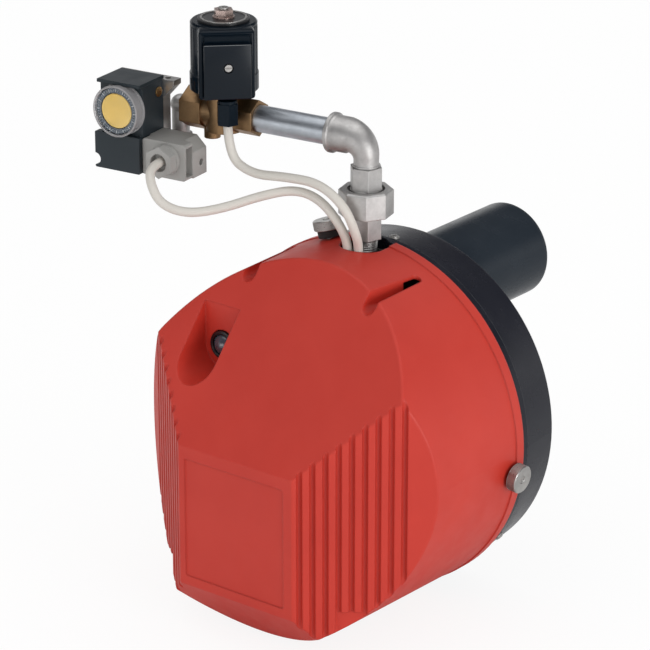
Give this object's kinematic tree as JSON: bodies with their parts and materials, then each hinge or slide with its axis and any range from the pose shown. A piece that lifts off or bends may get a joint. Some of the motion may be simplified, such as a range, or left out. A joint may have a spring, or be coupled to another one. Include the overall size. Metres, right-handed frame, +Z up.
{
  "type": "gas burner",
  "caption": "Monoblock gas burner with a ribbed moulded hood, round fan housing, blast tube and an overhead gas line with solenoid valve and pressure switch",
  "frame": {"origin": "on the blast tube's axis, where the tube leaves the fan housing's rear face", "axes": "+Y along the blast tube into the boiler, +Z up, +X to the right for someone facing the hood"},
  "size_m": [0.3676, 0.352, 0.454],
  "materials": {
    "red_plastic": "satin moulded",
    "black_housing": "satin powder coat",
    "black_tube": "glossy heat-proof enamel",
    "gasket_fibre": "pressed ceramic fibre",
    "zinc_steel": "zinc plated",
    "grey_iron": "galvanised malleable iron",
    "pipe_steel": "galvanised pipe",
    "brass": "raw forged brass",
    "aluminium": "die cast",
    "coil_black": "moulded coil casing",
    "switch_black": "matt moulding",
    "plug_grey": "matt moulding",
    "black_plastic": "matt moulding",
    "cable_sheath": "soft white sheath",
    "clear_plastic": "clear moulding",
    "dial_yellow": "moulded dial",
    "dial_grey": "printed scale ring",
    "white_ceramic": "glazed ceramic",
    "copper_plate": "passivated",
    "control_grey": "moulded control box",
    "rubber_black": "rubber",
    "dark_steel": "laminated steel"
  },
  "bodies": {
    "burner": {"fan_housing": "black_housing", "inner_plate": "zinc_steel", "blast_tube": "black_tube", "flange_gasket": "gasket_fibre", "thumb_screw_collars": "rubber_black", "rim_screws": "zinc_steel", "manifold_screws": "zinc_steel", "gas_tube": "zinc_steel", "gas_nozzle": "zinc_steel", "diffuser_disc": "zinc_steel", "electrode_bracket": "zinc_steel", "electrode_insulators": "white_ceramic", "electrode_rods": "zinc_steel", "shutter_lock_screw": "zinc_steel", "motor_flange": "aluminium", "motor_posts": "zinc_steel", "motor_shell": "black_housing", "motor_stator": "dark_steel", "motor_bearings": "zinc_steel", "motor_capacitor": "aluminium", "control_box": "control_grey", "button_bezel": "black_plastic", "ignition_transformer": "black_plastic", "terminal_box": "black_plastic", "gas_manifold": "aluminium", "riser_nipple": "pipe_steel", "union_seat": "grey_iron", "union_tail": "grey_iron", "street_elbow": "grey_iron", "gas_pipe": "pipe_steel", "valve_body": "brass", "armature_guide": "zinc_steel", "valve_coil": "coil_black", "coil_cap": "black_plastic", "coil_cap_ring": "copper_plate", "coil_nut": "copper_plate", "terminal_cover": "coil_black", "terminal_cover_screw": "zinc_steel", "valve_gland": "coil_black", "pressure_elbow": "grey_iron", "switch_base": "aluminium", "switch_body": "switch_black", "switch_test_screw": "brass", "dial_scale": "dial_grey", "dial_cover": "clear_plastic", "plug": "plug_grey", "plug_gland": "plug_grey", "valve_cable": "cable_sheath", "switch_cable": "cable_sheath"},
    "hood": {"hood": "red_plastic"},
    "knob_right": {"thumb_screw_right": "zinc_steel"},
    "knob_top": {"thumb_screw_top": "zinc_steel"},
    "knob_lower": {"thumb_screw_lower": "zinc_steel"},
    "rotor": {"motor_rotor": "dark_steel", "fan_wheel": "aluminium"},
    "shutter": {"air_shutter": "zinc_steel"},
    "button": {"reset_button": "black_plastic"},
    "dial": {"pressure_dial": "dial_yellow"},
    "union": {"union_nut": "grey_iron"},
    "plunger": {"valve_plunger": "zinc_steel"}
  },
  "joints": [
    {"name": "hood_slide", "type": "slide", "parent": "burner", "child": "hood", "axis": [0, -1, 0], "range_m": [0, 0.2]},
    {"name": "knob_right_turn", "type": "hinge", "parent": "burner", "child": "knob_right", "pos_m": [0.14506, -0.0629, -0.09933], "axis": [0.9936, 0, -0.1132], "continuous": true},
    {"name": "knob_top_turn", "type": "hinge", "parent": "burner", "child": "knob_top", "pos_m": [-0.0373, -0.0629, 0.05836], "axis": [-0.2554, 0, 0.9668], "continuous": true},
    {"name": "knob_lower_turn", "type": "hinge", "parent": "burner", "child": "knob_lower", "pos_m": [-0.08786, -0.0629, -0.1994], "axis": [-0.6018, 0, -0.7986], "continuous": true},
    {"name": "fan_spin", "type": "hinge", "parent": "burner", "child": "rotor", "pos_m": [0, -0.0704, -0.1328], "axis": [0, 1, 0], "continuous": true},
    {"name": "shutter_turn", "type": "hinge", "parent": "burner", "child": "shutter", "pos_m": [0, -0.0474, -0.1328], "axis": [0, -1, 0], "range_deg": [0, 28]},
    {"name": "button_press", "type": "slide", "parent": "burner", "child": "button", "axis": [0, 1, 0], "range_m": [0, 0.0025], "stiffness_N_per_m": 400},
    {"name": "dial_turn", "type": "hinge", "parent": "burner", "child": "dial", "pos_m": [-0.18284, -0.14025, 0.1494], "axis": [0.1271, -0.9919, 0], "range_deg": [0, 300]},
    {"name": "union_turn", "type": "hinge", "parent": "burner", "child": "union", "pos_m": [0, -0.0644, 0.0932], "axis": [0, 0, 1], "continuous": true},
    {"name": "plunger_lift", "type": "slide", "parent": "burner", "child": "plunger", "axis": [0, 0, 1], "range_m": [0, 0.004], "stiffness_N_per_m": 250}
  ]
}
